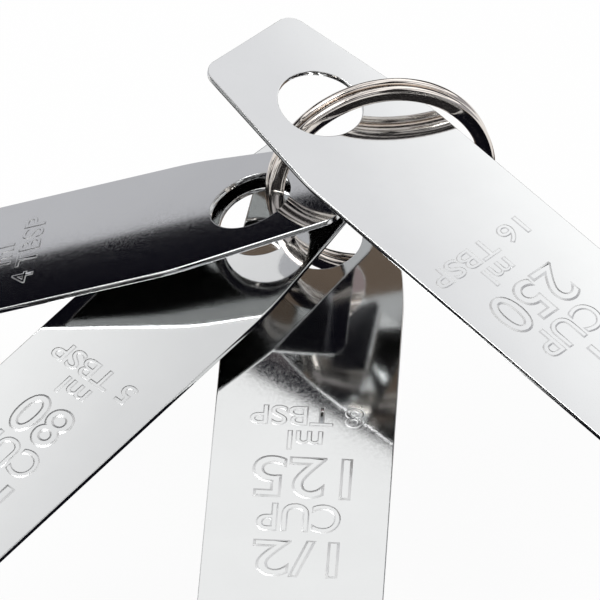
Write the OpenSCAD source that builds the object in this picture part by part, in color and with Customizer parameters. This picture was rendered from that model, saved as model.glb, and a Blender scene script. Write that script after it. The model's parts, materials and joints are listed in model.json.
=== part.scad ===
// Set of four measuring cups joined by a two-turn split ring.
// Each cup is a pressed bowl with a flat strip handle welded under its rim.
// The ring stands upright and holds the handle ends, the bowls stand on the plane z = 0.

/* [Handle strip] */
// Width of the strip
strip_w = 21.4; // [20:0.2:22]
// Thickness of the sheet
strip_t = 0.7; // [0.5:0.05:0.9]
// Length of the sloping part, from the bend to the end
strip_l = 82; // [76:1:100]
// Slope of the strip above the plane of the rim, in degrees
strip_rise = 15; // [12:0.5:17]
// Length of the tapered end
taper_l = 21; // [17:0.5:28]
// Width that the taper runs down to at the end
end_w = 15.2; // [13.6:0.2:17]
// Radius of the two end corners
corner_r = 2.2; // [1:0.1:3.5]
// Radius that softens the start of the taper
shoulder_r = 35; // [20:1:50]
// Diameter of the hole for the ring
hole_d = 10.3; // [10:0.1:11.5]
// Distance from the end to the middle of the hole
hole_in = 12.5; // [11:0.5:14]

/* [Handle root] */
// Depth of the flat shelf below the rim
shelf_drop = 5.5; // [4:0.5:8]
// Length of the flat shelf, from the tab bend to the slope
shelf_l = 6; // [4:0.5:10]
// Upper radius of the bend between shelf and slope
rise_r = 14; // [8:1:25]
// Inner radius of the bend between tab and shelf
tab_r = 1.6; // [1:0.1:2.5]
// Depth of the welded tab below the shelf
tab_h = 13; // [9:0.5:15]
// Gap left by the weld between tab and wall
weld_gap = 0.03; // [0.02:0.01:0.08]

/* [Bowl sheet] */
// Thickness of the bowl sheet
wall_t = 0.6; // [0.4:0.05:0.8]
// Radius of the rolled rim
rim_r = 1.1; // [0.8:0.1:1.4]
// Inner radius between floor and side
floor_r = 6; // [4:0.5:8]

/* [Cup of 250 ml] */
// Inner radius at the rim
top_250 = 41.2; // [39:0.2:44]
// Inner radius at the floor
foot_250 = 36.4; // [34:0.2:39]
// Inner depth
deep_250 = 54; // [51:0.5:57]
// Turn of the cup round the ring, in degrees to the right of the front
turn_250 = 47; // [43:1:50]

/* [Cup of 125 ml] */
// Inner radius at the rim
top_125 = 36.5; // [35:0.2:38]
// Inner radius at the floor
foot_125 = 33; // [31:0.2:34.5]
// Inner depth
deep_125 = 33.5; // [31:0.5:36]
// Turn of the cup round the ring, in degrees to the right of the front
turn_125 = -4; // [-6:1:0]

/* [Cup of 80 ml] */
// Inner radius at the rim
top_80 = 30.5; // [29:0.2:32]
// Inner radius at the floor
foot_80 = 27.5; // [26:0.2:29]
// Inner depth
deep_80 = 31; // [28:0.5:33]
// Turn of the cup round the ring, in degrees to the right of the front
turn_80 = -47; // [-50:1:-44]

/* [Cup of 60 ml] */
// Inner radius at the rim
top_60 = 27.5; // [26:0.2:29]
// Inner radius at the floor
foot_60 = 24.5; // [23:0.2:26]
// Inner depth
deep_60 = 29; // [26:0.5:31]
// Turn of the cup round the ring, in degrees to the right of the front
turn_60 = -97; // [-102:1:-92]

/* [Split ring] */
// Radius of the wire's middle line
ring_r = 13; // [12.6:0.1:13.4]
// Radial width of the wire
wire_w = 1.9; // [1.4:0.1:2.1]
// Width of one turn along the ring's axis
wire_h = 1.1; // [0.8:0.05:1.2]
// Gap between the two turns
turn_gap = 0.45; // [0.42:0.01:0.6]
// Arc over which the wire steps from one turn to the other, in degrees
step_arc = 30; // [20:1:45]
// Place of the step round the ring, in degrees
step_at = -40; // [-60:1:-20]
// Turn of the upright ring about the vertical, in degrees
ring_yaw = 13; // [11:1:16]

/* [Where the wire goes through the handles] */
// Place round the ring of the 250 ml cup's hole, in degrees
pass_250 = 125; // [122:1:128]
// Place round the ring of the 125 ml cup's hole, in degrees
pass_125 = 224; // [222:1:228]
// Arc along the ring from the 125 ml cup's hole to the 80 ml cup's hole, in degrees
apart_80 = 17; // [15:1:19]
// Arc along the ring from the 80 ml cup's hole to the 60 ml cup's hole, in degrees
apart_60 = 19; // [17:1:22]
// Hole middle from the wire, to the right and to the back, for the 250 ml cup
off_250 = [0, 1.9]; // [-3.2:0.1:3.2]
// Hole middle from the wire, to the right and to the back, for the 125 ml cup
off_125 = [1.9, 2.4]; // [-3.2:0.1:3.2]
// Hole middle from the wire, to the right and to the back, for the 80 ml cup
off_80 = [-3, 1.4]; // [-3.2:0.1:3.2]
// Hole middle from the wire, to the right and to the back, for the 60 ml cup
off_60 = [-2.9, 0.5]; // [-3.2:0.1:3.2]

/* [Hidden] */
$fn = 96;
steel = [0.80, 0.80, 0.81];
nickel = [0.72, 0.69, 0.63];

// A cup's sizes travel together: rim radius, floor radius, depth
size_250 = [top_250, foot_250, deep_250];
size_125 = [top_125, foot_125, deep_125];
size_80 = [top_80, foot_80, deep_80];
size_60 = [top_60, foot_60, deep_60];

// Bowl geometry
function draft(c) = atan((c[0] - c[1]) / c[2]);
function rim_z(c) = wall_t + c[2];
function outer_r(c, z) = c[1] + (z - wall_t) * tan(draft(c)) + wall_t / cos(draft(c));
function floor_mid_r(c) = c[1] + floor_r * tan(draft(c)) - floor_r / cos(draft(c));
floor_mid_z = wall_t + floor_r;
// The bead of the rim laps the wall a little
rim_set = 0.94 * rim_r;
// The floor arc stands out a little, so that it crosses the floor and the wall
arc_lap = 0.03;

// Handle geometry, in the plane of the handle: x outwards from the bowl's axis, z up
function shelf_z(c) = rim_z(c) - shelf_drop;
function tab_bend_z(c) = shelf_z(c) - strip_t - tab_r;
function tab_face_r(c, z) = outer_r(c, z) + (weld_gap + strip_t) / cos(draft(c));
function tab_bend_r(c) = tab_face_r(c, tab_bend_z(c) + tab_r * sin(draft(c))) + tab_r * cos(draft(c));
function rise_x(c) = tab_bend_r(c) + shelf_l;
function slope_x(c) = rise_x(c) + rise_r * sin(strip_rise);
function slope_z(c) = shelf_z(c) + rise_r * (1 - cos(strip_rise));
hole_along = strip_l - hole_in;
function hole_x(c) = slope_x(c) + hole_along * cos(strip_rise) + strip_t / 2 * sin(strip_rise);
function hole_z(c) = slope_z(c) + hole_along * sin(strip_rise) - strip_t / 2 * cos(strip_rise);

// Outline of the strip's end
taper_k = (strip_w - end_w) / 2 / taper_l;
taper_a = atan(taper_k);
corner_u = end_w / 2 + taper_k * corner_r - corner_r / cos(taper_a);
shoulder_run = shoulder_r * tan(taper_a / 2);
root_l = 2 * (shelf_l + rise_r);

// The upright ring, placed by the 250 ml cup, whose bowl stands at the origin
function pass_at(a) = [ring_r * cos(a) * cos(ring_yaw), ring_r * cos(a) * sin(ring_yaw), ring_r * sin(a)];
pass_80 = pass_125 - apart_80;
pass_60 = pass_80 - apart_60;
function heading(turn) = 90 + turn;
ring_mid = [
    hole_x(size_250) * cos(heading(turn_250)) - pass_at(pass_250)[0] - off_250[0],
    hole_x(size_250) * sin(heading(turn_250)) - pass_at(pass_250)[1] - off_250[1],
    hole_z(size_250) - pass_at(pass_250)[2]
];

// A cup tips on the round edge of its floor until its hole is as high as the wire
function tip_for(c, z, side) =
    let (a = hole_x(c) + side * floor_mid_r(c))
    let (b = hole_z(c) - floor_mid_z)
    asin((z - floor_mid_z) / norm([a, b])) - atan2(b, a);
function tip(c, z) = tip_for(c, z, 1) >= 0 ? tip_for(c, z, 1) : tip_for(c, z, -1);
function tip_lift(c, t) = floor_mid_z * (1 - cos(t)) + floor_mid_r(c) * sin(abs(t));
function tip_x(c, t) = hole_x(c) * cos(t) - hole_z(c) * sin(t);

tip_125 = tip(size_125, ring_mid[2] + pass_at(pass_125)[2]);
tip_80 = tip(size_80, ring_mid[2] + pass_at(pass_80)[2]);
tip_60 = tip(size_60, ring_mid[2] + pass_at(pass_60)[2]);

// Puts a cup, made with its handle along x, in its place on the ring
module on_ring(c, t, turn, pass, off) {
    at = ring_mid + pass_at(pass) + [off[0], off[1], 0];
    reach = tip_x(c, t);
    translate([at[0] - reach * cos(heading(turn)), at[1] - reach * sin(heading(turn)), tip_lift(c, t)])
        rotate([0, 0, heading(turn)])
            rotate([0, -t, 0])
                children();
}

module place_250() { on_ring(size_250, 0, turn_250, pass_250, off_250) children(); }
module place_125() { on_ring(size_125, tip_125, turn_125, pass_125, off_125) children(); }
module place_80() { on_ring(size_80, tip_80, turn_80, pass_80, off_80) children(); }
module place_60() { on_ring(size_60, tip_60, turn_60, pass_60, off_60) children(); }

// Half section of a bowl's outside or inside, from its floor to the top
module bowl_side(c, grow, low, high) {
    a = draft(c);
    r = floor_r + grow;
    mid = [floor_mid_r(c), floor_mid_z];
    top = c[1] + (high - wall_t) * tan(a) + grow / cos(a);
    polygon([[0, low], [mid[0], low], mid + r * [cos(a), -sin(a)], [top, high], [0, high]]);
    intersection() {
        translate(mid) circle(r + arc_lap);
        translate([mid[0], low]) square(2 * r);
    }
}

// Pressed bowl with a rounded floor edge and a rolled rim
module bowl(c) {
    rotate_extrude() {
        difference() {
            bowl_side(c, wall_t, 0, rim_z(c));
            bowl_side(c, 0, wall_t, rim_z(c) + rim_r);
        }
        translate([c[0] + rim_set, rim_z(c)]) circle(rim_r, $fn = 48);
    }
}

// Plan of the sloping strip: parallel sides, tapered end, round corners, ring hole
module strip_plan() {
    w = strip_w / 2;
    taper_x = strip_l - taper_l;
    difference() {
        union() {
            for (s = [-1, 1]) {
                polygon([
                    [-root_l, 0],
                    [-root_l, s * w],
                    [taper_x - shoulder_run, s * w],
                    [taper_x + shoulder_run * cos(taper_a), s * (w - shoulder_run * sin(taper_a))],
                    [strip_l - corner_r * (1 - sin(taper_a)), s * (corner_u + corner_r * cos(taper_a))],
                    [strip_l, s * corner_u],
                    [strip_l, 0]
                ]);
                translate([strip_l - corner_r, s * corner_u]) circle(corner_r, $fn = 48);
                intersection() {
                    translate([taper_x - shoulder_run, s * (w - shoulder_r)]) circle(shoulder_r);
                    translate([taper_x - shoulder_run, s > 0 ? w / 2 : -w])
                        square([shoulder_run * (1 + cos(taper_a)), w / 2]);
                }
            }
        }
        translate([hole_along, 0]) circle(d = hole_d);
    }
}

// Side view of all that lies under the shelf and outside the tab, grown by the sheet
module under_root(c, grow) {
    a = draft(c);
    mid = [tab_bend_r(c), tab_bend_z(c)];
    low = shelf_z(c) - tab_h;
    end = mid[0] + shelf_l / 2;
    polygon([
        [tab_face_r(c, low) - grow / cos(a), low],
        mid + (tab_r + grow) * [-cos(a), sin(a)],
        mid + [0, tab_r + grow],
        [end, mid[1] + tab_r + grow],
        [end, low]
    ]);
    translate(mid) circle(tab_r + grow, $fn = 48);
}

// Side view of all that lies above the strip's upper face, or its lower face, grown by the sheet
module above_strip(c, grow) {
    mid = [rise_x(c), shelf_z(c) + rise_r];
    down = [sin(strip_rise), -cos(strip_rise)];
    end = [slope_x(c), slope_z(c)] + strip_l * [cos(strip_rise), sin(strip_rise)];
    high = 2 * end[1];
    polygon([
        [tab_bend_r(c), mid[1] - rise_r - grow],
        mid - [0, rise_r + grow],
        mid + (rise_r + grow) * down,
        end + grow * down,
        [end[0], high],
        [tab_bend_r(c), high]
    ]);
    intersection() {
        translate(mid) circle(rise_r + grow);
        translate(mid - [0, rise_r + grow]) square(rise_r);
    }
}

// Handle bent from one strip: curved tab on the wall, shelf, bend and slope
module handle(c) {
    half_arc = 2 * asin(strip_w / 2 / tab_bend_r(c));
    intersection() {
        rotate([0, 0, -half_arc])
            rotate_extrude(angle = 2 * half_arc)
                difference() {
                    under_root(c, strip_t);
                    under_root(c, 0);
                }
        translate([0, -strip_w / 2, 0]) cube([2 * tab_bend_r(c), strip_w, 2 * rim_z(c)]);
    }
    intersection() {
        rotate([90, 0, 0])
            linear_extrude(height = 2 * strip_w, center = true)
                difference() {
                    above_strip(c, strip_t);
                    above_strip(c, 0);
                }
        translate([slope_x(c), 0, slope_z(c)])
            rotate([0, -strip_rise, 0])
                linear_extrude(height = 2 * strip_l, center = true) strip_plan();
    }
}

// Split ring: one flattened wire, wound twice, stepping across once
turn_pitch = wire_h + turn_gap;
step_clear = 4;
step_from = 360 - step_arc - step_clear;
wire_arc = 360 + step_from - step_clear;
wire_steps = 170;
wire_sides = 16;
function ease(x) = x <= 0 ? 0 : x >= 1 ? 1 : x * x * (3 - 2 * x);
function wire_y(s) = turn_pitch * (ease((s - step_from) / step_arc) - 0.5);
function round_side(v) = sign(v) * pow(abs(v), 0.6);
function wire_point(s, j) =
    let (q = 360 * j / wire_sides)
    let (r = ring_r + wire_w / 2 * round_side(cos(q)))
    let (a = step_at + s)
    [r * cos(a), wire_y(s) + wire_h / 2 * round_side(sin(q)), r * sin(a)];
wire_rings = [
    for (i = [0 : wire_steps])
        [for (j = [0 : wire_sides - 1]) wire_point(wire_arc * i / wire_steps, j)]
];
wire_points = [for (ring = wire_rings) each ring];
wire_faces = [
    [for (j = [0 : wire_sides - 1]) j],
    [for (j = [wire_sides - 1 : -1 : 0]) wire_steps * wire_sides + j],
    for (i = [0 : wire_steps - 1], j = [0 : wire_sides - 1])
        let (a = i * wire_sides + j)
        let (b = i * wire_sides + (j + 1) % wire_sides)
        each [[a, a + wire_sides, b + wire_sides], [a, b + wire_sides, b]]
];

// Least distance between points of the first turn and of the second turn beside it
wire_self_gap = min([
    for (s = [0 : 6 : wire_arc - 360], lag = [-4 : 2 : 4])
        if (s + lag >= 0 && s + lag <= wire_arc - 360)
            min([for (j = [0 : wire_sides - 1], k = [0 : wire_sides - 1])
                norm(wire_point(s, j) - wire_point(s + lag + 360, k))])
]);
echo(wire_self_gap = wire_self_gap);

module bowl_250() { color(steel) place_250() bowl(size_250); }
module handle_250() { color(steel) place_250() handle(size_250); }
module bowl_125() { color(steel) place_125() bowl(size_125); }
module handle_125() { color(steel) place_125() handle(size_125); }
module bowl_80() { color(steel) place_80() bowl(size_80); }
module handle_80() { color(steel) place_80() handle(size_80); }
module bowl_60() { color(steel) place_60() bowl(size_60); }
module handle_60() { color(steel) place_60() handle(size_60); }
module split_ring() {
    color(nickel)
        translate(ring_mid)
            rotate([0, 0, ring_yaw])
                polyhedron(wire_points, wire_faces, convexity = 6);
}

bowl_250();
handle_250();
bowl_125();
handle_125();
bowl_80();
handle_80();
bowl_60();
handle_60();
split_ring();
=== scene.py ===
import json
from collections import namedtuple
from math import asin, atan, atan2, cos, hypot, pi, radians, sin, sqrt, tan

import bmesh
import bpy
from bpy.props import FloatProperty, FloatVectorProperty, PointerProperty
from mathutils import Matrix, Vector


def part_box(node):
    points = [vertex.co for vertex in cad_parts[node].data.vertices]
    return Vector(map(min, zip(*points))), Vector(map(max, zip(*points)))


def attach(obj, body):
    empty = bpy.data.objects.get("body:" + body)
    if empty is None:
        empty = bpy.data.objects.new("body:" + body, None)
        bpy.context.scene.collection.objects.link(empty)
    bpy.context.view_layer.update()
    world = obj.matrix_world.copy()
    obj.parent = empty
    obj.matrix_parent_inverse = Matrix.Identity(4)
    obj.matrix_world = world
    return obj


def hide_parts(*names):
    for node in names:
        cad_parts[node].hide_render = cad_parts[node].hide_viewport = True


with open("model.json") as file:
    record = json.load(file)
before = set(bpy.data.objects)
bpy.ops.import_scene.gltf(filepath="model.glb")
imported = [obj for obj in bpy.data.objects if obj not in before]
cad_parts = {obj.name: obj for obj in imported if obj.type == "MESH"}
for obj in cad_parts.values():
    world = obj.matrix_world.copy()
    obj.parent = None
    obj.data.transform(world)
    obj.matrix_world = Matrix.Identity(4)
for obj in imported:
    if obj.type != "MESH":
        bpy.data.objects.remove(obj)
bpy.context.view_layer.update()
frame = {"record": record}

bl_info = {
    "name": "Measuring cup set",
    "version": (1, 0, 0),
    "blender": (4, 5, 0),
    "location": "3D View > Sidebar > Cups",
    "description": "Builds four measuring cups on a split ring and the studio round them",
    "category": "Object",
}

MM = 0.001
SLACK = 1e-6    # rounding that is ignored

# One cup: sizes of its bowl in mm, its turn round the ring in degrees, where the middle of its hole
# lies from the wire in mm, the rows stamped on its handle from the bowl towards the ring, and how
# far the stamp sits to one side and towards the bowl in mm
Cup = namedtuple("Cup", "name top foot deep turn off rows stamp")
CUPS = (
    Cup("250", 41.2, 36.4, 54.0, 47, (0.0, 1.9),
        ("1", "CUP", "250", "ml", "16 TBSP"), (1.7, 0.2)),
    Cup("125", 36.5, 33.0, 33.5, -4, (1.9, 2.4),
        ("1/2", "CUP", "125", "ml", "8 TBSP"), (-0.2, -0.8)),
    Cup("80", 30.5, 27.5, 31.0, -47, (-3.0, 1.4),
        ("1/3", "CUP", "80", "ml", "5 TBSP"), (0.2, 0.5)),
    Cup("60", 27.5, 24.5, 29.0, -97, (-2.9, 0.5),
        ("1/4", "CUP", "60", "ml", "4 TBSP"), (0.3, 1.4)),
)

# Stamped rows in the same order: distance from the handle's end, height and pitch of a character,
# in mm
MARK_ROWS = (
    (60.3, 4.8, 3.2), (54.6, 3.8, 3.2), (48.9, 5.6, 3.75), (43.6, 2.6, 2.0), (40.1, 2.7, 2.2),
)
# Points on a character's curves and down its flank
CURVE_POINTS, FLANK_POINTS = 6, 4
# How deep a character's foot is sunk, as a share of its height, and where its flat top starts, as a
# share of the flank
FOOT_SUNK, TOP_FROM = 0.003, 0.999

# Square patch of the handle's mesh round the hole: half its length in mm, rows and columns, and how
# far outside the hole its flat face ends, as a share of the edge radius
HOLE_PAD, HOLE_ROWS, HOLE_COLUMNS, RIM_OUT = 7.5, 24, 32, 1.2
# Rows of the rest of the mesh, from the tab to the tip, and columns across it
TAB_ROWS, BEND_ROWS, SHELF_ROWS, RISE_ROWS = 22, 12, 8, 10
SLOPE_ROWS, TAPER_ROWS, TIP_ROWS, STRIP_COLUMNS = 14, 8, 4, 44
# Where the slope's rows get closer, in mm from the end; the share of the shelf over which the curve
# round the bowl runs out; and the outermost columns, as a share of the half width, that keep the
# face flat
CLOSER_FROM, STRAIGHT_FROM, OUTER_COLUMN = 26, 0.8, 0.994
# Turns of the rows round the corners of the end, and of the points round a cut edge
CORNER_TURN = [radians(q) for q in range(90, 20, -6)]
EDGE_TURN = [radians(q) for q in (0, 30, 60, 90)]
# Spot welds: distance from the middle and radius in mm, and place below the shelf as a share of the
# tab
WELD_OUT, WELD_R, WELD_DOWN = 4.8, 1.9, 0.58

# Points of a bowl round the floor edge, up the side, round the rolled rim and round the axis
FLOOR_POINTS, SIDE_POINTS, BEAD_POINTS, ROUND_POINTS = 14, 8, 30, 160
# Rolled rim: how far its middle lies outside the wall, as a share of its radius, and the angles at
# which it leaves the outside and meets the inside
BEAD_OUT, BEAD_FROM, BEAD_TO = 0.94, pi + 0.98, 3 * pi - 0.35

# Sections along the ring's wire, points round a section, and a power that squares the section
WIRE_SECTIONS, WIRE_POINTS, WIRE_SQUARE = 420, 28, 0.66
# Rounded wire ends, within the wire's own length: share of the length and of the section's size
WIRE_ENDS = ((0.0, 0.55), (0.0015, 0.8), (0.004, 0.94), (0.008, 1.0))
WIRE_FULL = 0.012   # share of the length at which the even sections start

# Angles from which an edge is sharp
STRIP_CREASE, BOWL_CREASE, WIRE_CREASE = radians(35), radians(40), radians(50)

# Metal finish in mm: worn patches, waves of the pressed sheet and depth of the buffing specks; and
# the part of the noise that the specks take up
PATCH, SWELL, SPECK_DEEP = 9, 26, 0.003
SPECK_LOW, SPECK_HIGH = 0.35, 0.75
# Studio paper: tooth in mm, and how much of it is lit to white
TOOTH, PAPER_LIT = 4, 0.94

# Where the picture's middle lies from the ring's, to the left and down, and the sensor's width, in mm
AIM_LEFT, AIM_DOWN, SENSOR = 9.63, 14.59, 36.0
# Half the floor's side, its depth below the set, the softbox's sides and its place from the ring, in
# mm
FLOOR_HALF, FLOOR_DOWN = 3000, 0.05
SOFTBOX_SIZE, SOFTBOX_AT = (500, 400), (-450, -350, 750)

# Walls of the studio in mm, and where the hidden dark card under the ring, a painted dark reflection,
# turns paler towards the back
LEFT, RIGHT, FRONT, BACK, UNDER_REFLECTION_TURN = -680, 480, -480, 560, 122
# Level cards, which glow and are seen only in the metal as painted dark reflections: name, board,
# height and corners (x, y) in mm
FLAT_CARDS = (
    ("flag_under", "painted_under_reflection", 0.05, ((-185, 0), (-5, 0), (62, 165), (-170, 165))),
    ("flag_top", "black", 600, ((-286, -16), (-126, -16), (-126, 144), (-286, 144))),
    ("flag_left", "wall", 900, ((LEFT, FRONT), (-300, FRONT), (-300, -60), (LEFT, -60))),
    ("flag_right", "wall", 900, ((250, FRONT), (620, FRONT), (620, -60), (250, -60))),
)
# Upright cards across the view, which glow and are seen only in the metal as painted reflections:
# name, board, y, and left and right edges (x, low z, high z) in mm. The back flag over the back card
# paints the 60's strip half black, half grey; the grey cards in front are for the handles' looks from
# behind
CROSS_CARDS = (
    ("flag_back", "black", 150, (-205, 53.3, 135), (-105, 100.2, 135)),
    ("card_back", "grey", 151, (-205, 15, 53.5), (-105, 15, 100.4)),
    ("wall_front", "wall", FRONT, (LEFT, 1, 900), (RIGHT, 1, 900)),
    ("card_front_left", "grey", FRONT + 1, (-310, 130, 430), (-140, 130, 430)),
    ("card_front_middle", "grey", FRONT + 1, (-140, 130, 235), (0, 130, 235)),
    ("card_front_right", "grey", FRONT + 1, (0, 130, 430), (150, 130, 430)),
    ("wall_back", "wall", BACK, (LEFT, 1, 330), (RIGHT, 1, 330)),
)
# Walls along the view, which glow and are seen only in the metal as painted reflections: name, board,
# x and height in mm
SIDE_WALLS = (("wall_left", "wall", LEFT, 480), ("wall_right", "side", RIGHT, 200))
# Cards that a strip mirrors towards the camera, each a painted reflection on that strip, in mm:
# distance from the strip, half the width of the change from dark to bright, and corners to the side
# and up
CARD_AWAY, CARD_BLEND = 140, 11
CARD_ENDS = ((-55, -95), (55, -95), (55, 95), (-55, 95))
# Soft flag, a grey glowing card that paints a grey reflection on the characters' flanks: corners, and
# how far before the card it hangs
SOFT_ENDS, SOFT_NEARER = ((-70, 42), (30, 42), (30, 150), (-70, 150)), 4
# Slanting flag, a painted dark reflection, in mm: where it stops before the strip's end, and place and
# half width of its change
SLANT_STOP, SLANT_IN, SLANT_BLEND = 8, 5.5, 2


def length(name, mm, text):
    return FloatProperty(name=name, description=text, default=mm * MM, min=0.0, unit="LENGTH")


def angle(name, degrees, text):
    return FloatProperty(name=name, description=text, default=radians(degrees), unit="ROTATION")


def number(name, value, text):
    return FloatProperty(name=name, description=text, default=value, min=0.0, precision=3)


def linear(code):
    """Linear colour of an sRGB hex code."""
    parts = [int(code[i:i + 2], 16) / 255 for i in (1, 3, 5)]
    return [c / 12.92 if c <= 0.04045 else ((c + 0.055) / 1.055) ** 2.4 for c in parts]


def colour(name, code, text):
    return FloatVectorProperty(
        name=name, description=text, default=linear(code), size=3, min=0.0, max=1.0, subtype="COLOR"
    )


class CUPS_PG_strip(bpy.types.PropertyGroup):
    width: length("Width", 21.4, "Width of the handle strip")
    sheet: length("Sheet", 0.7, "Thickness of the handle sheet")
    slope: length("Slope", 82, "Length of the sloping part, from the bend to the end")
    rise: angle("Rise", 15, "Slope of the strip above the plane of the rim")
    taper: length("Taper", 21, "Length of the tapered end")
    end: length("End width", 15.2, "Width that the taper runs down to at the end")
    corner: length("Corner", 2.2, "Radius of the end corners")
    shoulder: length("Shoulder", 35, "Radius that softens the start of the taper")
    hole: length("Hole", 10.3, "Diameter of the hole for the ring")
    hole_in: length("Hole from end", 12.5, "Distance from the end to the middle of the hole")
    drop: length("Shelf drop", 5.5, "Depth of the flat shelf below the rim")
    shelf: length("Shelf", 6, "Length of the flat shelf")
    rise_bend: length("Rise bend", 14, "Upper radius of the bend between shelf and slope")
    tab_bend: length("Tab bend", 1.6, "Inner radius of the bend between tab and shelf")
    tab: length("Tab", 13, "Depth of the welded tab below the shelf")
    gap: length("Weld gap", 0.03, "Gap between tab and wall")
    edge: length("Edge", 0.1, "Radius of the cut edges after tumbling")
    relief: number("Relief", 0.02, "Height of a stroke as a share of the character's height")
    flank: number("Flank", 0.07, "Width of a stroke's flank as a share of the character's height")
    bold: number("Bold", 0.02, "Gain of a stroke on each side as a share of that height")
    weld: length("Weld mark", 0.12, "Depth of the two spot-weld marks on the tab")


class CUPS_PG_bowl(bpy.types.PropertyGroup):
    sheet: length("Sheet", 0.6, "Thickness of the bowl sheet")
    bead: length("Bead", 1.1, "Radius of the rolled rim")
    floor_edge: length("Floor edge", 6, "Inner radius between floor and side")


class CUPS_PG_ring(bpy.types.PropertyGroup):
    radius: length("Radius", 13, "Radius of the wire's middle line")
    wide: length("Wire width", 1.9, "Radial width of the wire")
    high: length("Wire height", 1.1, "Width of one turn along the ring's axis")
    gap: length("Turn gap", 0.45, "Gap between the two turns")
    step: angle("Step", 30, "Arc over which the wire steps from one turn to the other")
    at: angle("Step place", -40, "Place of the step round the ring")
    clear: angle("End clearance", 4, "Arc between a wire end and the step")
    yaw: angle("Yaw", 13, "Turn of the upright ring about the vertical")


class CUPS_PG_finish(bpy.types.PropertyGroup):
    steel: colour("Steel", "#DFE0E0", "Polished stainless steel")
    steel_dull: colour("Dull steel", "#D7D8D8", "Steel where the polish is worn")
    nickel: colour("Nickel", "#F5EEE8", "Nickel plating on the ring")
    nickel_dull: colour("Dull nickel", "#E1D9D1", "Plating where handling has dulled it")
    polish: number("Polish", 0.045, "Roughness of the polished steel")
    worn: number("Worn polish", 0.09, "Roughness of the steel where it is worn")
    plated: number("Plating", 0.065, "Roughness of the plated wire")
    plated_worn: number("Worn plating", 0.12, "Roughness of the plated wire where it is worn")
    # Darker than the buffed steel: painted grey shade on the characters' flanks, which are also
    # rougher
    pressed: colour("Pressed steel", "#CDCDCD", "Steel on the flanks of the stamped characters")
    matt: number("Matt flanks", 0.3, "Roughness of the flanks, which the buffing doesn't reach")


class CUPS_PG_stage(bpy.types.PropertyGroup):
    distance: length("Camera distance", 700, "Distance from the camera to the ring")
    tilt: angle("Camera tilt", 38.5, "Angle of the view below the horizontal")
    lens: number("Lens", 351.0, "Focal length in mm on a 36 mm sensor")
    floor: colour("Floor", "#F2F2F2", "Pale studio floor")
    # The flags, walls and cards below glow, light nothing and are seen only in the metal: their
    # colours are painted reflections
    flag: colour("Flag", "#0C0C12", "Black flags that the polished steel mirrors")
    wall: colour("Walls", "#1C1B1C", "Dark studio walls to the front, the left and the back")
    side: colour("Right wall", "#7C7C80", "Grey studio wall to the right")
    # Brown far half of the hidden card under the ring, seen only in the metal: painted dark reflection
    painted_under_reflection: colour("Table", "#6E6054", "Far half of the dark card on the floor under the ring")
    grey: colour("Grey card", "#C4C4C8", "Grey card behind the set")
    softbox: number("Softbox", 5.0, "Power of the softbox in watts")
    fill: number("Fill", 0.7, "Strength of the light from all round")
    sky: number("Sky", 1.15, "Brightness of the backdrop as the metal mirrors it")
    glow: number("Cards", 1.35, "Brightness of the cards that only the metal mirrors")
    paper: number("Paper", 0.903, "Brightness of the floor as the metal mirrors it")


def sizes(context, group):
    return getattr(context.scene, "cups_" + group)


def hinge(cup):
    """Where the wire goes through the cup's hole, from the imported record."""
    for joint in frame["record"]["behaviour"]["joints"]:
        if joint["name"] == "swing_" + cup.name:
            return Vector(joint["pos_m"])
    raise RuntimeError("the record has no joint for the cup of %s ml" % cup.name)


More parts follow.
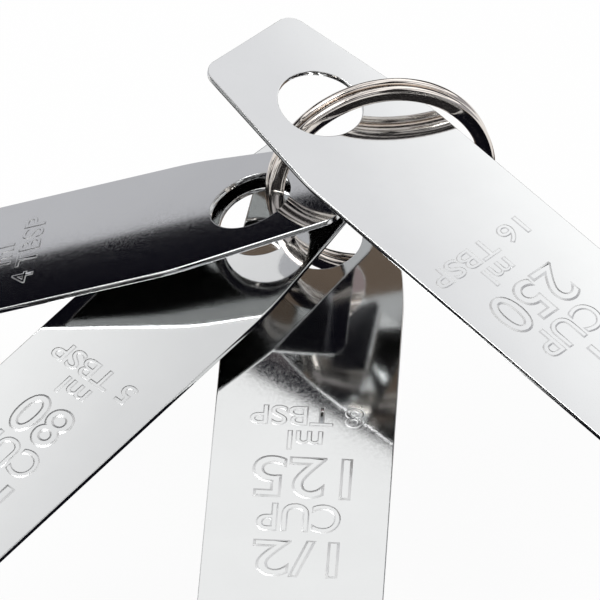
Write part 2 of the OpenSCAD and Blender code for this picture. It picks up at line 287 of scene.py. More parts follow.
class Shape:
    """What follows from a cup's sizes, in its handle's plane: r outwards from the axis, z up."""

    def __init__(self, cup, strip, bowl):
        self.cup = cup
        self.strip = strip
        self.bowl = bowl
        self.top, self.foot, self.deep = cup.top * MM, cup.foot * MM, cup.deep * MM
        self.draft = atan((self.top - self.foot) / self.deep)
        self.rim_z = bowl.sheet + self.deep
        self.arc_z = bowl.sheet + bowl.floor_edge
        self.arc_r = self.foot + bowl.floor_edge * (tan(self.draft) - 1 / cos(self.draft))
        self.shelf_z = self.rim_z - strip.drop
        self.bend_z = self.shelf_z - strip.sheet - strip.tab_bend
        face_z = self.bend_z + strip.tab_bend * sin(self.draft)
        self.bend_r = self.tab_face(face_z) + strip.tab_bend * cos(self.draft)
        self.rise_r = self.bend_r + strip.shelf
        self.slope_r = self.rise_r + strip.rise_bend * sin(strip.rise)
        self.slope_z = self.shelf_z + strip.rise_bend * (1 - cos(strip.rise))

    def outside(self, z):
        sheet = self.bowl.sheet
        return self.foot + (z - sheet) * tan(self.draft) + sheet / cos(self.draft)

    def tab_face(self, z):
        return self.outside(z) + (self.strip.gap + self.strip.sheet) / cos(self.draft)

    def hole(self):
        """Middle of the hole, halfway through the sheet."""
        s = self.strip
        run = s.slope - s.hole_in
        return (self.slope_r + run * cos(s.rise) + s.sheet / 2 * sin(s.rise),
                self.slope_z + run * sin(s.rise) - s.sheet / 2 * cos(s.rise))

    def place(self):
        """Matrix that stands the cup on the floor with its hole on the wire."""
        at = hinge(self.cup) + Vector((*self.cup.off, 0)) * MM
        r, z = self.hole()
        tip = 0.0
        for side in (-1, 1):
            a, b = r + side * self.arc_r, z - self.arc_z
            found = asin((at.z - self.arc_z) / hypot(a, b)) - atan2(b, a)
            tip = found if found * side >= 0 else tip
        heading = radians(90 + self.cup.turn)
        reach = r * cos(tip) - z * sin(tip)
        lift = self.arc_z * (1 - cos(tip)) + self.arc_r * sin(abs(tip))
        foot = Vector((at.x - reach * cos(heading), at.y - reach * sin(heading), lift))
        turn = Matrix.Rotation(heading, 4, "Z") @ Matrix.Rotation(-tip, 4, "Y")
        return Matrix.Translation(foot) @ turn

    def on_slope(self, u, v, above):
        """Point of the sloping part: u across, v from the end, height above the upper face."""
        s = self.strip
        run = s.slope - v
        return (self.slope_r + run * cos(s.rise) - above * sin(s.rise), u,
                self.slope_z + run * sin(s.rise) + above * cos(s.rise))

    def half_width(self, v):
        """Half the strip's width at a distance v from its end."""
        s = self.strip
        k = (s.width - s.end) / 2 / s.taper
        a = atan(k)
        corner_u = s.end / 2 + k * s.corner - s.corner / cos(a)
        if v < s.corner * (1 - sin(a)):
            return corner_u + sqrt(s.corner ** 2 - (s.corner - v) ** 2)
        run = s.shoulder * tan(a / 2)
        from_start = s.taper + run - v
        if from_start <= 0:
            return s.width / 2
        if from_start < s.shoulder * sin(a):
            return s.width / 2 - s.shoulder + sqrt(s.shoulder ** 2 - from_start ** 2)
        return s.end / 2 + k * v


def spread(first, last, count):
    return [first + (last - first) * i / count for i in range(count + 1)]


# One row across the strip: place and normal of the sheet's middle, half width, share of the row that
# is straight instead of curved round the bowl, half thickness, and distance from the end on the slope
Row = namedtuple("Row", "r z nr nz half straight thick v")


def handle_rows(shape):
    """Rows of the handle from the foot of the tab to the end of the strip."""
    s, t, w, a = shape.strip, shape.strip.sheet / 2, shape.strip.width / 2, shape.draft
    rows = []
    radius = s.tab_bend + t
    high_r, high_z = shape.bend_r - radius * cos(a), shape.bend_z + radius * sin(a)
    for z in spread(shape.shelf_z - s.tab, high_z, TAB_ROWS)[:-1]:
        rows.append(Row(high_r - (high_z - z) * tan(a), z, -cos(a), sin(a), w, 0, t, None))
    for q in spread(pi - a, pi / 2, BEND_ROWS)[:-1]:
        r, z = shape.bend_r + radius * cos(q), shape.bend_z + radius * sin(q)
        rows.append(Row(r, z, cos(q), sin(q), w, 0, t, None))
    for f in spread(0, 1, SHELF_ROWS)[:-1]:
        straight = min(1, f / STRAIGHT_FROM)
        rows.append(Row(shape.bend_r + f * s.shelf, shape.shelf_z - t, 0, 1, w, straight, t, None))
    radius = s.rise_bend + t
    for q in spread(-pi / 2, -pi / 2 + s.rise, RISE_ROWS)[:-1]:
        r, z = shape.rise_r + radius * cos(q), shape.shelf_z + s.rise_bend + radius * sin(q)
        rows.append(Row(r, z, -cos(q), -sin(q), w, 1, t, None))
    pad, closer = HOLE_PAD * MM, CLOSER_FROM * MM
    slope = spread(s.slope, closer, SLOPE_ROWS)[:-1]
    slope += spread(closer, s.hole_in + pad, TAPER_ROWS)[:-1]
    slope += spread(s.hole_in + pad, s.hole_in - pad, HOLE_ROWS)
    slope += spread(s.hole_in - pad, s.corner, TIP_ROWS)[1:-1]
    slope += [s.corner * (1 - cos(q)) for q in CORNER_TURN]
    places = [(v, t) for v in slope]
    places += [(s.edge * (1 - sin(q)), t - s.edge * (1 - cos(q))) for q in EDGE_TURN]
    for v, thick in places:
        r, _, z = shape.on_slope(0, v, -t)
        rows.append(Row(r, z, -sin(s.rise), cos(s.rise), shape.half_width(v), 1, thick, v))
    return rows


def outlines(text, holder):
    """Points and faces of a row's text, as it is set in the holder."""
    holder.data.body = text
    mesh = holder.evaluated_get(bpy.context.evaluated_depsgraph_get()).to_mesh()
    points = [v.co.copy() for v in mesh.vertices]
    faces = [list(p.vertices) for p in mesh.polygons]
    if not faces:
        raise RuntimeError("the row %r gave no outline" % text)
    return points, faces


def make_marks(shape, material, pressed):
    """Characters pressed up from the strip: flat tops with flanks that run out into the sheet."""
    s, cup = shape.strip, shape.cup
    holder = bpy.data.objects.new("text", bpy.data.curves.new("text", "FONT"))
    bpy.context.scene.collection.objects.link(holder)
    curve = holder.data
    curve.resolution_u = CURVE_POINTS
    curve.bevel_resolution = FLANK_POINTS
    points, faces, matt = [], [], []
    for text, (at, high, pitch) in zip(cup.rows, MARK_ROWS):
        curve.bevel_depth = curve.offset = 0.0
        plain, _ = outlines(text, holder)
        low = Vector([min(p[i] for p in plain) for i in range(3)])
        box = Vector([max(p[i] for p in plain) for i in range(3)]) - low
        wide = pitch * len(text) if len(text) > 1 else box.x / box.y * high
        curve.bevel_depth = s.flank * box.y
        curve.offset = (s.bold - s.flank / 2) * box.y
        raised, polygons = outlines(text, holder)
        kept = [p for p in polygons if all(raised[i].z > -SLACK for i in p)]
        index = {}
        for i in sorted({i for p in kept for i in p}):
            index[i] = len(points)
            up = min(1.0, max(0.0, raised[i].z / curve.bevel_depth))
            f = 1 - sqrt(1 - up * up)
            rise = (s.relief * f * f * (3 - 2 * f) - FOOT_SUNK) * high * MM
            u = ((raised[i].x - low.x) / box.x - 0.5) * wide * MM + cup.stamp[0] * MM
            v = ((raised[i].y - low.y) / box.y - 0.5) * high * MM + (at + cup.stamp[1]) * MM
            points.append(shape.on_slope(u, v, rise))
        faces += [[index[i] for i in p] for p in kept]
        matt += [min(raised[i].z for i in p) < TOP_FROM * curve.bevel_depth for p in kept]
    bpy.data.objects.remove(holder)
    bpy.data.curves.remove(curve)
    piece = solid("marks_" + cup.name, points, faces, shape.place())
    piece.data.materials.append(material)
    piece.data.materials.append(pressed)
    piece.data.polygons.foreach_set("material_index", [int(m) for m in matt])
    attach(piece, "cup_" + cup.name)
    return piece


def solid(name, points, faces, matrix):
    """New object from points and faces, with its faces turned outwards and shaded smooth."""
    mesh = bpy.data.meshes.new(name)
    mesh.from_pydata(points, [], faces)
    mesh.transform(matrix)
    shell = bmesh.new()
    shell.from_mesh(mesh)
    bmesh.ops.recalc_face_normals(shell, faces=shell.faces)
    shell.to_mesh(mesh)
    shell.free()
    mesh.shade_smooth()
    piece = bpy.data.objects.new(name, mesh)
    bpy.context.scene.collection.objects.link(piece)
    return piece


def settle(piece, crease, material, body, node):
    """Gives a piece its sharp edges and finish, and hands it over in place of the CAD node."""
    piece.data.set_sharp_from_angle(angle=crease)
    piece.data.materials.append(material)
    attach(piece, body)
    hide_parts(node)
    return piece


def lathe(profile, count):
    """Points and faces of a profile that starts and ends on the axis, turned round z."""
    points, faces = [(0, 0, profile[0][1])], []
    turns = [2 * pi * i / count for i in range(count)]
    for r, z in profile[1:-1]:
        points += [(r * cos(q), r * sin(q), z) for q in turns]
    points.append((0, 0, profile[-1][1]))
    rings = len(profile) - 2
    for i in range(count):
        j = (i + 1) % count
        faces.append((0, 1 + j, 1 + i))
        for k in range(rings - 1):
            a = 1 + k * count
            faces.append((a + i, a + j, a + count + j, a + count + i))
        a = 1 + (rings - 1) * count
        faces.append((a + i, a + j, len(points) - 1))
    return points, faces


def opposite(columns, j):
    """Place of the point under column j in the section of a row."""
    return 2 * len(columns) + 2 * len(EDGE_TURN) - 3 - j


def hole_faces(shape, rows, columns, points, width):
    """Faces that the hole takes out of the grid, and new ones round its edge; adds their points."""
    s = shape.strip
    start = s.hole_in + HOLE_PAD * MM + SLACK
    first = next(i for i, row in enumerate(rows) if row.v is not None and row.v < start)
    last = first + HOLE_ROWS
    left = (len(columns) - 1 - HOLE_COLUMNS) // 2
    right = left + HOLE_COLUMNS
    taken = set()
    for i in range(first, last):
        taken |= {(i, j) for j in range(left, right)}
        taken |= {(i, opposite(columns, j + 1)) for j in range(left, right)}
    rim = [(first, j) for j in range(left, right)] + [(i, right) for i in range(first, last)]
    rim += [(last, j) for j in range(right, left, -1)]
    rim += [(i, left) for i in range(last, first, -1)]
    section = [(RIM_OUT * s.edge, 0)]
    section += [(s.edge * (1 - sin(q)), -s.edge * (1 - cos(q))) for q in EDGE_TURN]
    section += [(out, -s.sheet - above) for out, above in reversed(section)]
    loops = [[i * width + j for i, j in rim]]
    for out, above in section:
        loops.append([])
        for i, j in rim:
            a = atan2(rows[i].v - s.hole_in, (rows[i].half - s.edge) * columns[j])
            r = s.hole / 2 + out
            loops[-1].append(len(points))
            points.append(shape.on_slope(r * cos(a), s.hole_in + r * sin(a), above))
    loops.append([i * width + opposite(columns, j) for i, j in rim])
    faces = []
    for one, two in zip(loops, loops[1:]):
        for k in range(len(rim)):
            m = (k + 1) % len(rim)
            faces.append((one[k], one[m], two[m], two[k]))
    return taken, faces


def weld_mark(shape, u, z):
    """Depth of the spot-weld marks at a place on the back of the tab."""
    depth = 0
    for spot in (-WELD_OUT * MM, WELD_OUT * MM):
        d = hypot(u - spot, z - (shape.shelf_z - WELD_DOWN * shape.strip.tab)) / (WELD_R * MM)
        depth += shape.strip.weld * max(0, 1 - d ** 4)
    return depth


def make_handle(shape, material):
    """Handle bent from one strip, with round cut edges, spot-weld marks and a hole."""
    s, cup = shape.strip, shape.cup
    columns = [-1] + spread(-OUTER_COLUMN, OUTER_COLUMN, STRIP_COLUMNS) + [1]
    turn = [(sin(q), cos(q)) for q in EDGE_TURN[1:]]
    points, rows = [], handle_rows(shape)
    for row in rows:
        half, t, e = row.half - s.edge, row.thick, min(s.edge, row.thick)
        section = [(half * q, t, 1) for q in columns]
        section += [(half + s.edge * x, t - e + e * y, 1) for x, y in turn]
        section += [(half + s.edge * x, -t + e - e * y, -1) for x, y in reversed(turn)]
        section += [(-half * q, -t, -1) for q in columns]
        section += [(-half - s.edge * x, -t + e - e * y, -1) for x, y in turn]
        section += [(-half - s.edge * x, t - e + e * y, 1) for x, y in reversed(turn)]
        for u, off, side in section:
            if row.straight == 0 and row.nz < 0.5 and side < 0:
                off += weld_mark(shape, u, row.z)
            r, z = row.r + row.nr * off, row.z + row.nz * off
            x = r * row.straight + (1 - row.straight) * sqrt(r * r - u * u)
            points.append((x, u, z))
    n, c = len(section), len(columns)
    taken, faces = hole_faces(shape, rows, columns, points, n)
    for i in range(len(rows) - 1):
        for j in range(n):
            k = (j + 1) % n
            if (i, j) not in taken:
                faces.append((i * n + j, i * n + k, (i + 1) * n + k, (i + 1) * n + j))
    for base, flip in ((0, 1), ((len(rows) - 1) * n, -1)):
        lid = [[j, opposite(columns, j), opposite(columns, j + 1), j + 1] for j in range(c - 1)]
        lid += [range(c - 1, opposite(columns, c - 1) + 1), [*range(opposite(columns, 0), n), 0]]
        faces += [[base + j for j in face][::flip] for face in lid]
    piece = solid("handle_" + cup.name, points, faces, shape.place())
    return settle(piece, STRIP_CREASE, material,
                  "cup_" + cup.name, "handle_" + cup.name)


def make_bowl(shape, material):
    """Pressed bowl with a rounded floor edge and a rolled rim."""
    b, a, cup = shape.bowl, shape.draft, shape.cup
    bead_r, outer = shape.top + BEAD_OUT * b.bead, b.floor_edge + b.sheet
    profile = [(0, 0), (shape.arc_r / 2, 0)]
    for q in spread(-pi / 2, -a, FLOOR_POINTS):
        profile.append((shape.arc_r + outer * cos(q), shape.arc_z + outer * sin(q)))
    low_z, join_z = profile[-1][1], shape.rim_z + b.bead * sin(BEAD_FROM)
    profile += [(shape.outside(z), z) for z in spread(low_z, join_z, SIDE_POINTS)[1:-1]]
    for q in spread(BEAD_FROM, BEAD_TO, BEAD_POINTS):
        profile.append((bead_r + b.bead * cos(q), shape.rim_z + b.bead * sin(q)))
    wall_z, edge_z = profile[-1][1], shape.arc_z - b.floor_edge * sin(a)
    for z in spread(wall_z, edge_z, SIDE_POINTS)[1:-1]:
        profile.append((shape.foot + (z - b.sheet) * tan(a), z))
    for q in spread(-a, -pi / 2, FLOOR_POINTS):
        r, z = shape.arc_r + b.floor_edge * cos(q), shape.arc_z + b.floor_edge * sin(q)
        profile.append((r, z))
    profile += [(shape.arc_r / 2, b.sheet), (0, b.sheet)]
    piece = solid("bowl_" + cup.name, *lathe(profile, ROUND_POINTS), shape.place())
    return settle(piece, BOWL_CREASE, material,
                  "cup_" + cup.name, "bowl_" + cup.name)


def make_ring(ring, middle, material):
    """One flattened wire, wound twice, that steps across once."""
    start = 2 * pi - ring.step - ring.clear
    whole = 2 * pi + start - ring.clear
    pitch = ring.high + ring.gap

    def squared(v):
        return (1 if v >= 0 else -1) * abs(v) ** WIRE_SQUARE

    stops = [*WIRE_ENDS]
    stops += [(f, 1.0) for f in spread(WIRE_FULL, 1 - WIRE_FULL, WIRE_SECTIONS)]
    stops += [(1 - f, k) for f, k in reversed(WIRE_ENDS)]
    points, n = [], WIRE_POINTS
    for f, k in stops:
        along = whole * f
        x = min(1, max(0, (along - start) / ring.step))
        y = pitch * (x * x * (3 - 2 * x) - 0.5)
        for j in range(n):
            q = 2 * pi * j / n
            r = ring.radius + k * ring.wide / 2 * squared(cos(q))
            side = y + k * ring.high / 2 * squared(sin(q))
            points.append((r * cos(ring.at + along), side, r * sin(ring.at + along)))
    faces = [list(range(n)), list(range(len(points) - 1, len(points) - 1 - n, -1))]
    for i in range(len(stops) - 1):
        for j in range(n):
            a, b = i * n + j, i * n + (j + 1) % n
            faces.append((a, a + n, b + n, b))
    place = Matrix.Translation(middle) @ Matrix.Rotation(ring.yaw, 4, "Z")
    piece = solid("split_ring", points, faces, place)
    return settle(piece, WIRE_CREASE, material, "ring", "split_ring")


def add(tree, kind, inputs=None, **settings):
    """New node with its settings, and its inputs set to values or linked to sockets."""
    node = tree.nodes.new(kind)
    for name, value in settings.items():
        setattr(node, name, value)
    for name, value in (inputs or {}).items():
        if isinstance(value, bpy.types.NodeSocket):
            tree.links.new(value, node.inputs[name])
        else:
            node.inputs[name].default_value = value
    return node


def new_material(name):
    if name in bpy.data.materials:
        return bpy.data.materials[name], None
    material = bpy.data.materials.new(name)
    material.use_nodes = True
    material.node_tree.nodes.clear()
    return material, material.node_tree


def polished_metal(name, bright, dull, fine, worn, grain, wave):
    """Metal with a mirror polish: worn patches, fine grain and the slow waves of pressed sheet."""
    material, tree = new_material(name)
    if tree is None:
        return material
    place = add(tree, "ShaderNodeTexCoord").outputs["Object"]
    patch = add(tree, "ShaderNodeTexNoise", {
        "Vector": place, "Scale": 1 / (PATCH * MM), "Detail": 4.0, "Roughness": 0.6})
    speck = add(tree, "ShaderNodeTexNoise", {
        "Vector": place, "Scale": 1 / grain, "Detail": 2.0, "Roughness": 0.7})
    swell = add(tree, "ShaderNodeTexNoise", {
        "Vector": place, "Scale": 1 / (SWELL * MM), "Detail": 0.0})
    tone = add(tree, "ShaderNodeMix", {
        0: patch.outputs["Fac"], 6: (*bright, 1), 7: (*dull, 1)}, data_type="RGBA")
    rough = add(tree, "ShaderNodeMapRange", {
        "Value": speck.outputs["Fac"], "From Min": SPECK_LOW, "From Max": SPECK_HIGH,
        "To Min": fine, "To Max": worn})
    slow = add(tree, "ShaderNodeBump", {
        "Strength": 1.0, "Distance": wave, "Height": swell.outputs["Fac"]})
    quick = add(tree, "ShaderNodeBump", {
        "Strength": 0.2, "Distance": SPECK_DEEP * MM, "Height": speck.outputs["Fac"],
        "Normal": slow.outputs["Normal"]})
    shader = add(tree, "ShaderNodeBsdfPrincipled", {
        "Base Color": tone.outputs[2], "Metallic": 1.0, "Roughness": rough.outputs["Result"],
        "Normal": quick.outputs["Normal"]})
    add(tree, "ShaderNodeOutputMaterial", {"Surface": shader.outputs["BSDF"]})
    return material


def steel(context):
    # Stainless sheet, pressed and buffed: a cold mirror with slightly wavy reflections and fine specks
    # of the buffing, which are drawn coarser than real ones so that they show
    f = sizes(context, "finish")
    return polished_metal("buffed_stainless_steel", f.steel, f.steel_dull, f.polish, f.worn,
                          grain=0.35 * MM, wave=0.05 * MM)


def flank_steel_painted_grey(context):
    # Stainless sheet as the stamping die leaves it: rougher than the buffed sheet, with a darker tone
    # that is painted shade, so that soft grey lines run round the bright characters
    f = sizes(context, "finish")
    return polished_metal("die_stamped_stainless_steel", f.pressed, f.steel_dull,
                          f.matt, 1.2 * f.matt, grain=0.35 * MM, wave=0.05 * MM)


def nickel(context):
    # Rolled spring wire, nickel plated in a barrel: a slightly warm mirror, duller than the sheet
    f = sizes(context, "finish")
    return polished_metal("nickel_plated_spring_wire", f.nickel, f.nickel_dull,
                          f.plated, f.plated_worn, grain=0.5 * MM, wave=0.01 * MM)


def seen_directly(tree):
    """1 for camera, glossy and transmitted rays, 0 for the light that falls on the set."""
    path = add(tree, "ShaderNodeLightPath")
    first = add(tree, "ShaderNodeMath", {
        0: path.outputs["Is Camera Ray"], 1: path.outputs["Is Glossy Ray"]}, operation="MAXIMUM")
    both = add(tree, "ShaderNodeMath", {
        0: first.outputs[0], 1: path.outputs["Is Transmission Ray"]}, operation="MAXIMUM")
    return both.outputs[0]


def mirrored(tree, level):
    """A brightness: the level for what the metal mirrors, 1 for what the camera sees itself."""
    path = add(tree, "ShaderNodeLightPath")
    return add(tree, "ShaderNodeMapRange", {
        "Value": path.outputs["Is Glossy Ray"], "To Min": 1.0, "To Max": level}).outputs["Result"]


def floor_paper(context):
    # Seamless studio paper with a fine tooth, lit to white: it keeps a faint shadow under the set
    material, tree = new_material("seamless_white_paper")
    if tree is None:
        return material
    s = sizes(context, "stage")
    place = add(tree, "ShaderNodeTexCoord").outputs["Object"]
    tooth = add(tree, "ShaderNodeTexNoise", {
        "Vector": place, "Scale": 1 / (TOOTH * MM), "Detail": 3.0})
    tone = add(tree, "ShaderNodeMix", {
        0: tooth.outputs["Fac"], 6: (*s.floor, 1), 7: (*(0.99 * c for c in s.floor), 1)},
        data_type="RGBA")
    paper = add(tree, "ShaderNodeBsdfDiffuse", {"Color": tone.outputs[2]})
    lit = add(tree, "ShaderNodeEmission", {"Strength": mirrored(tree, s.paper)})
    share = add(tree, "ShaderNodeMath", {
        0: seen_directly(tree), 1: PAPER_LIT}, operation="MULTIPLY")
    mix = add(tree, "ShaderNodeMixShader", {
        0: share.outputs[0], 1: paper.outputs[0], 2: lit.outputs[0]})
    add(tree, "ShaderNodeOutputMaterial", {"Surface": mix.outputs[0]})
    return material


def glowing_reflection_board(name, bright, dark, along, middle, reach):
    # Glowing card that only the polished metal sees, shaded evenly from dark to bright: a painted
    # reflection
    material, tree = new_material(name)
    if tree is None:
        return material
    place = add(tree, "ShaderNodeTexCoord").outputs["Object"]
    run = add(tree, "ShaderNodeVectorMath", {0: place, 1: along}, operation="DOT_PRODUCT")
    level = along.dot(middle)
    share = add(tree, "ShaderNodeMapRange", {
        "Value": run.outputs["Value"], "From Min": level - reach, "From Max": level + reach})
    tone = add(tree, "ShaderNodeMix", {
        0: share.outputs["Result"], 6: (*dark, 1), 7: (*bright, 1)}, data_type="RGBA")
    shader = add(tree, "ShaderNodeEmission", {
        "Color": tone.outputs[2], "Strength": sizes(bpy.context, "stage").glow})
    add(tree, "ShaderNodeOutputMaterial", {"Surface": shader.outputs[0]})
    return material


def card(name, corners, material):
    """Flat card that is mirrored in the metal, but isn't in the picture, throws no shadow and lights
    nothing: a painted reflection.
    """
    mesh = bpy.data.meshes.new(name)
    mesh.from_pydata(corners, [], [(0, 1, 2, 3)])
    mesh.materials.append(material)
    board = bpy.data.objects.new(name, mesh)
    bpy.context.scene.collection.objects.link(board)
    board.visible_camera = False
    board.visible_diffuse = False
    board.visible_shadow = False


class Mirror:
    """What a cup's strip mirrors towards the camera: the places that its points show."""

    def __init__(self, cup, strip, bowl, eye):
        self.name = cup.name
        self.shape = Shape(cup, strip, bowl)
        self.place = self.shape.place()
        self.eye = eye
        turn = self.place.to_3x3()
        self.across = turn @ Vector((0, 1, 0))
        self.face = (turn @ Vector((cos(strip.rise), 0, sin(strip.rise)))).cross(self.across)
        self.middle, self.ray = self.at(0, strip.slope / 2)
        self.side = (self.across - self.across.dot(self.ray) * self.ray).normalized()
        self.up = self.ray.cross(self.side)

    def at(self, u, v):
        """Where the strip's point u, v looks, some way off, and the direction of that look."""
        spot = self.place @ Vector(self.shape.on_slope(u, v, 0))
        ray = (spot - self.eye).normalized().reflect(self.face)
        return spot + CARD_AWAY * MM * ray, ray

    def square_on(self, ends, nearer):
        """Corners of a card that faces the look, from places to the side and up in mm."""
        foot = self.middle - nearer * MM * self.ray
        return [foot + a * MM * self.side + b * MM * self.up for a, b in ends]


def shaded_card(mirror, bright, dark):
    """Soft glowing card that a cup's strip mirrors, bright over one edge and darker over the other: a
    painted reflection on that strip.
    """
    board = glowing_reflection_board("shaded_card_" + mirror.name, linear(bright), linear(dark),
                       mirror.side, mirror.middle, CARD_BLEND * MM)
    card("card_" + mirror.name, mirror.square_on(CARD_ENDS, 0), board)


def slanting_painted_reflection(mirror, left, right, bright, dark):
    """Dark glowing flag that a strip mirrors beyond a slanting line, paler away from it, as a painted
    dark reflection on that strip; its ends u, v in mm.
    """
    ends = (left, right, (right[0], SLANT_STOP), (left[0], SLANT_STOP))
    corners = [mirror.at(u * MM, v * MM)[0] for u, v in ends]
    line = corners[1] - corners[0]
    inwards = (corners[3] - corners[0]).cross(line).cross(-line).normalized()
    middle = (corners[0] + corners[1]) / 2 + SLANT_IN * MM * inwards
    board = glowing_reflection_board("slanting_flag_" + mirror.name, linear(bright), linear(dark),
                       inwards, middle, SLANT_BLEND * MM)
    card("flag_" + mirror.name, corners, board)


def lay_floor(context):
    """Floor of the studio, just under the set."""
    mesh = bpy.data.meshes.new("floor")
    h = FLOOR_HALF * MM
    mesh.from_pydata([(-h, -h, 0), (h, -h, 0), (h, h, 0), (-h, h, 0)], [], [(0, 1, 2, 3)])
    mesh.materials.append(floor_paper(context))
    ground = bpy.data.objects.new("floor", mesh)
    ground.location.z = -FLOOR_DOWN * MM
    context.scene.collection.objects.link(ground)


def set_cards(context, middle, eye):
    """Walls, flags and cards that glow and that only the metal mirrors, as painted reflections, for a
    camera at the eye.
    """
    s = sizes(context, "stage")
    rise, away = Vector((0, 0, 1)), Vector((0, 1, 0))

    def shaded(tone, share):
        return [share * c for c in tone]

    boards = {
        "black": glowing_reflection_board("black_flag", s.flag, shaded(s.flag, 0.7), rise, middle, 100 * MM),
        "wall": glowing_reflection_board("studio_wall", shaded(s.wall, 1.6), s.wall, rise, middle, 250 * MM),
        "side": glowing_reflection_board("side_wall", shaded(s.side, 1.6), s.side, rise, middle, 250 * MM),
        "grey": glowing_reflection_board("grey_card", s.grey, shaded(s.grey, 0.8), -rise, middle, 30 * MM),
        "painted_under_reflection": glowing_reflection_board("dark_table", s.painted_under_reflection, s.flag, away, UNDER_REFLECTION_TURN * MM * away, 14 * MM),
        "soft": glowing_reflection_board("soft_flag", linear("#A8A8AC"), linear("#98989C"),
                           rise, middle, 250 * MM),
    }
    for name, board, z, ends in FLAT_CARDS:
        card(name, [Vector((x, y, z)) * MM for x, y in ends], boards[board])
    for name, board, y, left, right in CROSS_CARDS:
        ends = ((left[0], left[1]), (right[0], right[1]), (right[0], right[2]), (left[0], left[2]))
        card(name, [Vector((x, y, z)) * MM for x, z in ends], boards[board])
    for name, board, x, top in SIDE_WALLS:
        ends = ((FRONT, 1), (BACK, 1), (BACK, top), (FRONT, top))
        card(name, [Vector((x, y, z)) * MM for y, z in ends], boards[board])

    strip, bowl = sizes(context, "strip"), sizes(context, "bowl")
    mirrors = {cup.name: Mirror(cup, strip, bowl, eye) for cup in CUPS}
    # Painted reflection on the 250's strip: white on one side shading to pale grey on the other
    shaded_card(mirrors["250"], "#DEDEE0", "#FFFFFF")
    # Painted grey reflection on the flanks of the 250's characters
    card("flag_250", mirrors["250"].square_on(SOFT_ENDS, SOFT_NEARER), boards["soft"])
    # Painted reflection on the 80's strip: grey on one side shading to near white on the other
    shaded_card(mirrors["80"], "#F2F2F2", "#D6D6D7")
    # Painted dark reflection on the 125's strip, with a slanting edge
    slanting_painted_reflection(mirrors["125"], (13, 29.6), (-13, 44.8), "#807474", "#101018")


def light_studio(context, middle):
    """Even light from all round, a white backdrop and one softbox."""
    s = sizes(context, "stage")
    world = bpy.data.worlds.new("studio")
    context.scene.world = world
    world.use_nodes = True
    tree = world.node_tree
    tree.nodes.clear()
    white = (1, 1, 1, 1)
    around = add(tree, "ShaderNodeBackground", {"Color": white, "Strength": s.fill})
    backdrop = add(tree, "ShaderNodeBackground", {
        "Color": white, "Strength": mirrored(tree, s.sky)})
    mix = add(tree, "ShaderNodeMixShader", {
        0: seen_directly(tree), 1: around.outputs[0], 2: backdrop.outputs[0]})
    add(tree, "ShaderNodeOutputWorld", {"Surface": mix.outputs[0]})

    lamp = bpy.data.lights.new("softbox", "AREA")
    lamp.shape = "RECTANGLE"
    lamp.size, lamp.size_y = (side * MM for side in SOFTBOX_SIZE)
    lamp.energy = s.softbox
    box = bpy.data.objects.new("softbox", lamp)
    box.location = middle + Vector(SOFTBOX_AT) * MM
    box.rotation_euler = (middle - box.location).to_track_quat("-Z", "Y").to_euler()
    context.scene.collection.objects.link(box)


def set_camera(context, place, aim):
    """Camera at the photograph's angle, with plain view settings."""
    view = bpy.data.cameras.new("camera")
    view.lens = sizes(context, "stage").lens
    view.sensor_width = SENSOR
    view.clip_start = 10 * MM
    eye = bpy.data.objects.new("camera", view)
    eye.location = place
    eye.rotation_euler = (aim - eye.location).to_track_quat("-Z", "Y").to_euler()
    context.scene.collection.objects.link(eye)
    context.scene.camera = eye
    context.scene.view_settings.view_transform = "Standard"


class CUPS_OT_bowls(bpy.types.Operator):
    """Builds the four bowls"""
    bl_idname = "cups.bowls"
    bl_label = "Bowls"

    def execute(self, context):
        for cup in CUPS:
            make_bowl(Shape(cup, sizes(context, "strip"), sizes(context, "bowl")), steel(context))
        return {"FINISHED"}


class CUPS_OT_handles(bpy.types.Operator):
    """Builds the four stamped handles"""
    bl_idname = "cups.handles"
    bl_label = "Handles"

    def execute(self, context):
        for cup in CUPS:
            shape = Shape(cup, sizes(context, "strip"), sizes(context, "bowl"))
            make_handle(shape, steel(context))
            make_marks(shape, steel(context), flank_steel_painted_grey(context))
        return {"FINISHED"}


class CUPS_OT_ring(bpy.types.Operator):
    """Builds the split ring"""
    bl_idname = "cups.ring"
    bl_label = "Split ring"

    def execute(self, context):
        low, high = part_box("split_ring")
        make_ring(sizes(context, "ring"), (low + high) / 2, nickel(context))
        return {"FINISHED"}


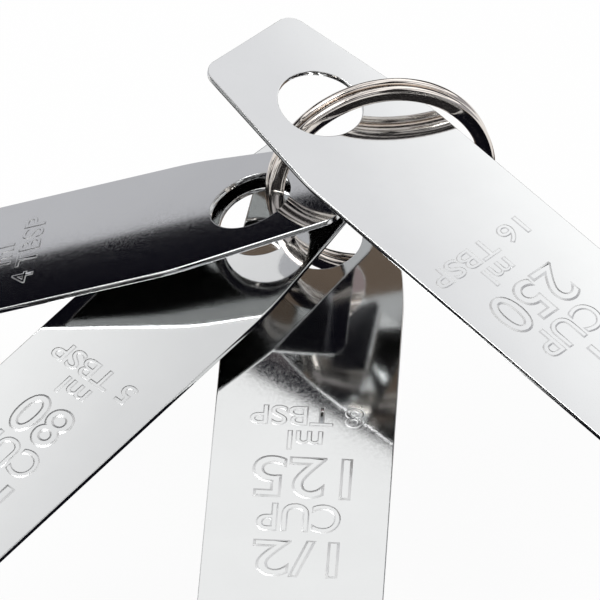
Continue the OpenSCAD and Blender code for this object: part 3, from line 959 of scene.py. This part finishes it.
class CUPS_OT_stage(bpy.types.Operator):
    """Lays the floor and sets cards, lights and camera"""
    bl_idname = "cups.stage"
    bl_label = "Stage"

    def execute(self, context):
        s = sizes(context, "stage")
        low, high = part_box("split_ring")
        middle = (low + high) / 2
        eye_up = Vector((0, sin(s.tilt), cos(s.tilt)))
        aim = middle - Vector((AIM_LEFT * MM, 0, 0)) - AIM_DOWN * MM * eye_up
        place = aim + s.distance * Vector((0, -cos(s.tilt), sin(s.tilt)))
        lay_floor(context)
        set_cards(context, middle, place)
        light_studio(context, middle)
        set_camera(context, place, aim)
        return {"FINISHED"}


class CUPS_PT_panel(bpy.types.Panel):
    """Builds the measuring cup set piece by piece"""
    bl_idname = "CUPS_PT_panel"
    bl_label = "Measuring cup set"
    bl_space_type = "VIEW_3D"
    bl_region_type = "UI"
    bl_category = "Cups"

    def draw(self, context):
        for title, group, operator in STEPS:
            box = self.layout.box()
            box.label(text=title)
            for name in sizes(context, group).__annotations__:
                box.prop(sizes(context, group), name)
            if operator:
                box.operator(operator)


STEPS = (
    ("Finish", "finish", None),
    ("Bowls", "bowl", "cups.bowls"),
    ("Handles", "strip", "cups.handles"),
    ("Split ring", "ring", "cups.ring"),
    ("Stage", "stage", "cups.stage"),
)
GROUPS = {
    "strip": CUPS_PG_strip, "bowl": CUPS_PG_bowl, "ring": CUPS_PG_ring,
    "finish": CUPS_PG_finish, "stage": CUPS_PG_stage,
}
CLASSES = (
    *GROUPS.values(), CUPS_OT_bowls, CUPS_OT_handles, CUPS_OT_ring, CUPS_OT_stage, CUPS_PT_panel,
)


def register():
    for item in CLASSES:
        bpy.utils.register_class(item)
    for name, group in GROUPS.items():
        setattr(bpy.types.Scene, "cups_" + name, PointerProperty(type=group))


def unregister():
    for name in GROUPS:
        delattr(bpy.types.Scene, "cups_" + name)
    for item in reversed(CLASSES):
        bpy.utils.unregister_class(item)


def main():
    register()
    bpy.ops.cups.bowls()
    bpy.ops.cups.handles()
    bpy.ops.cups.ring()
    bpy.ops.cups.stage()


if __name__ == "__main__":
    main()
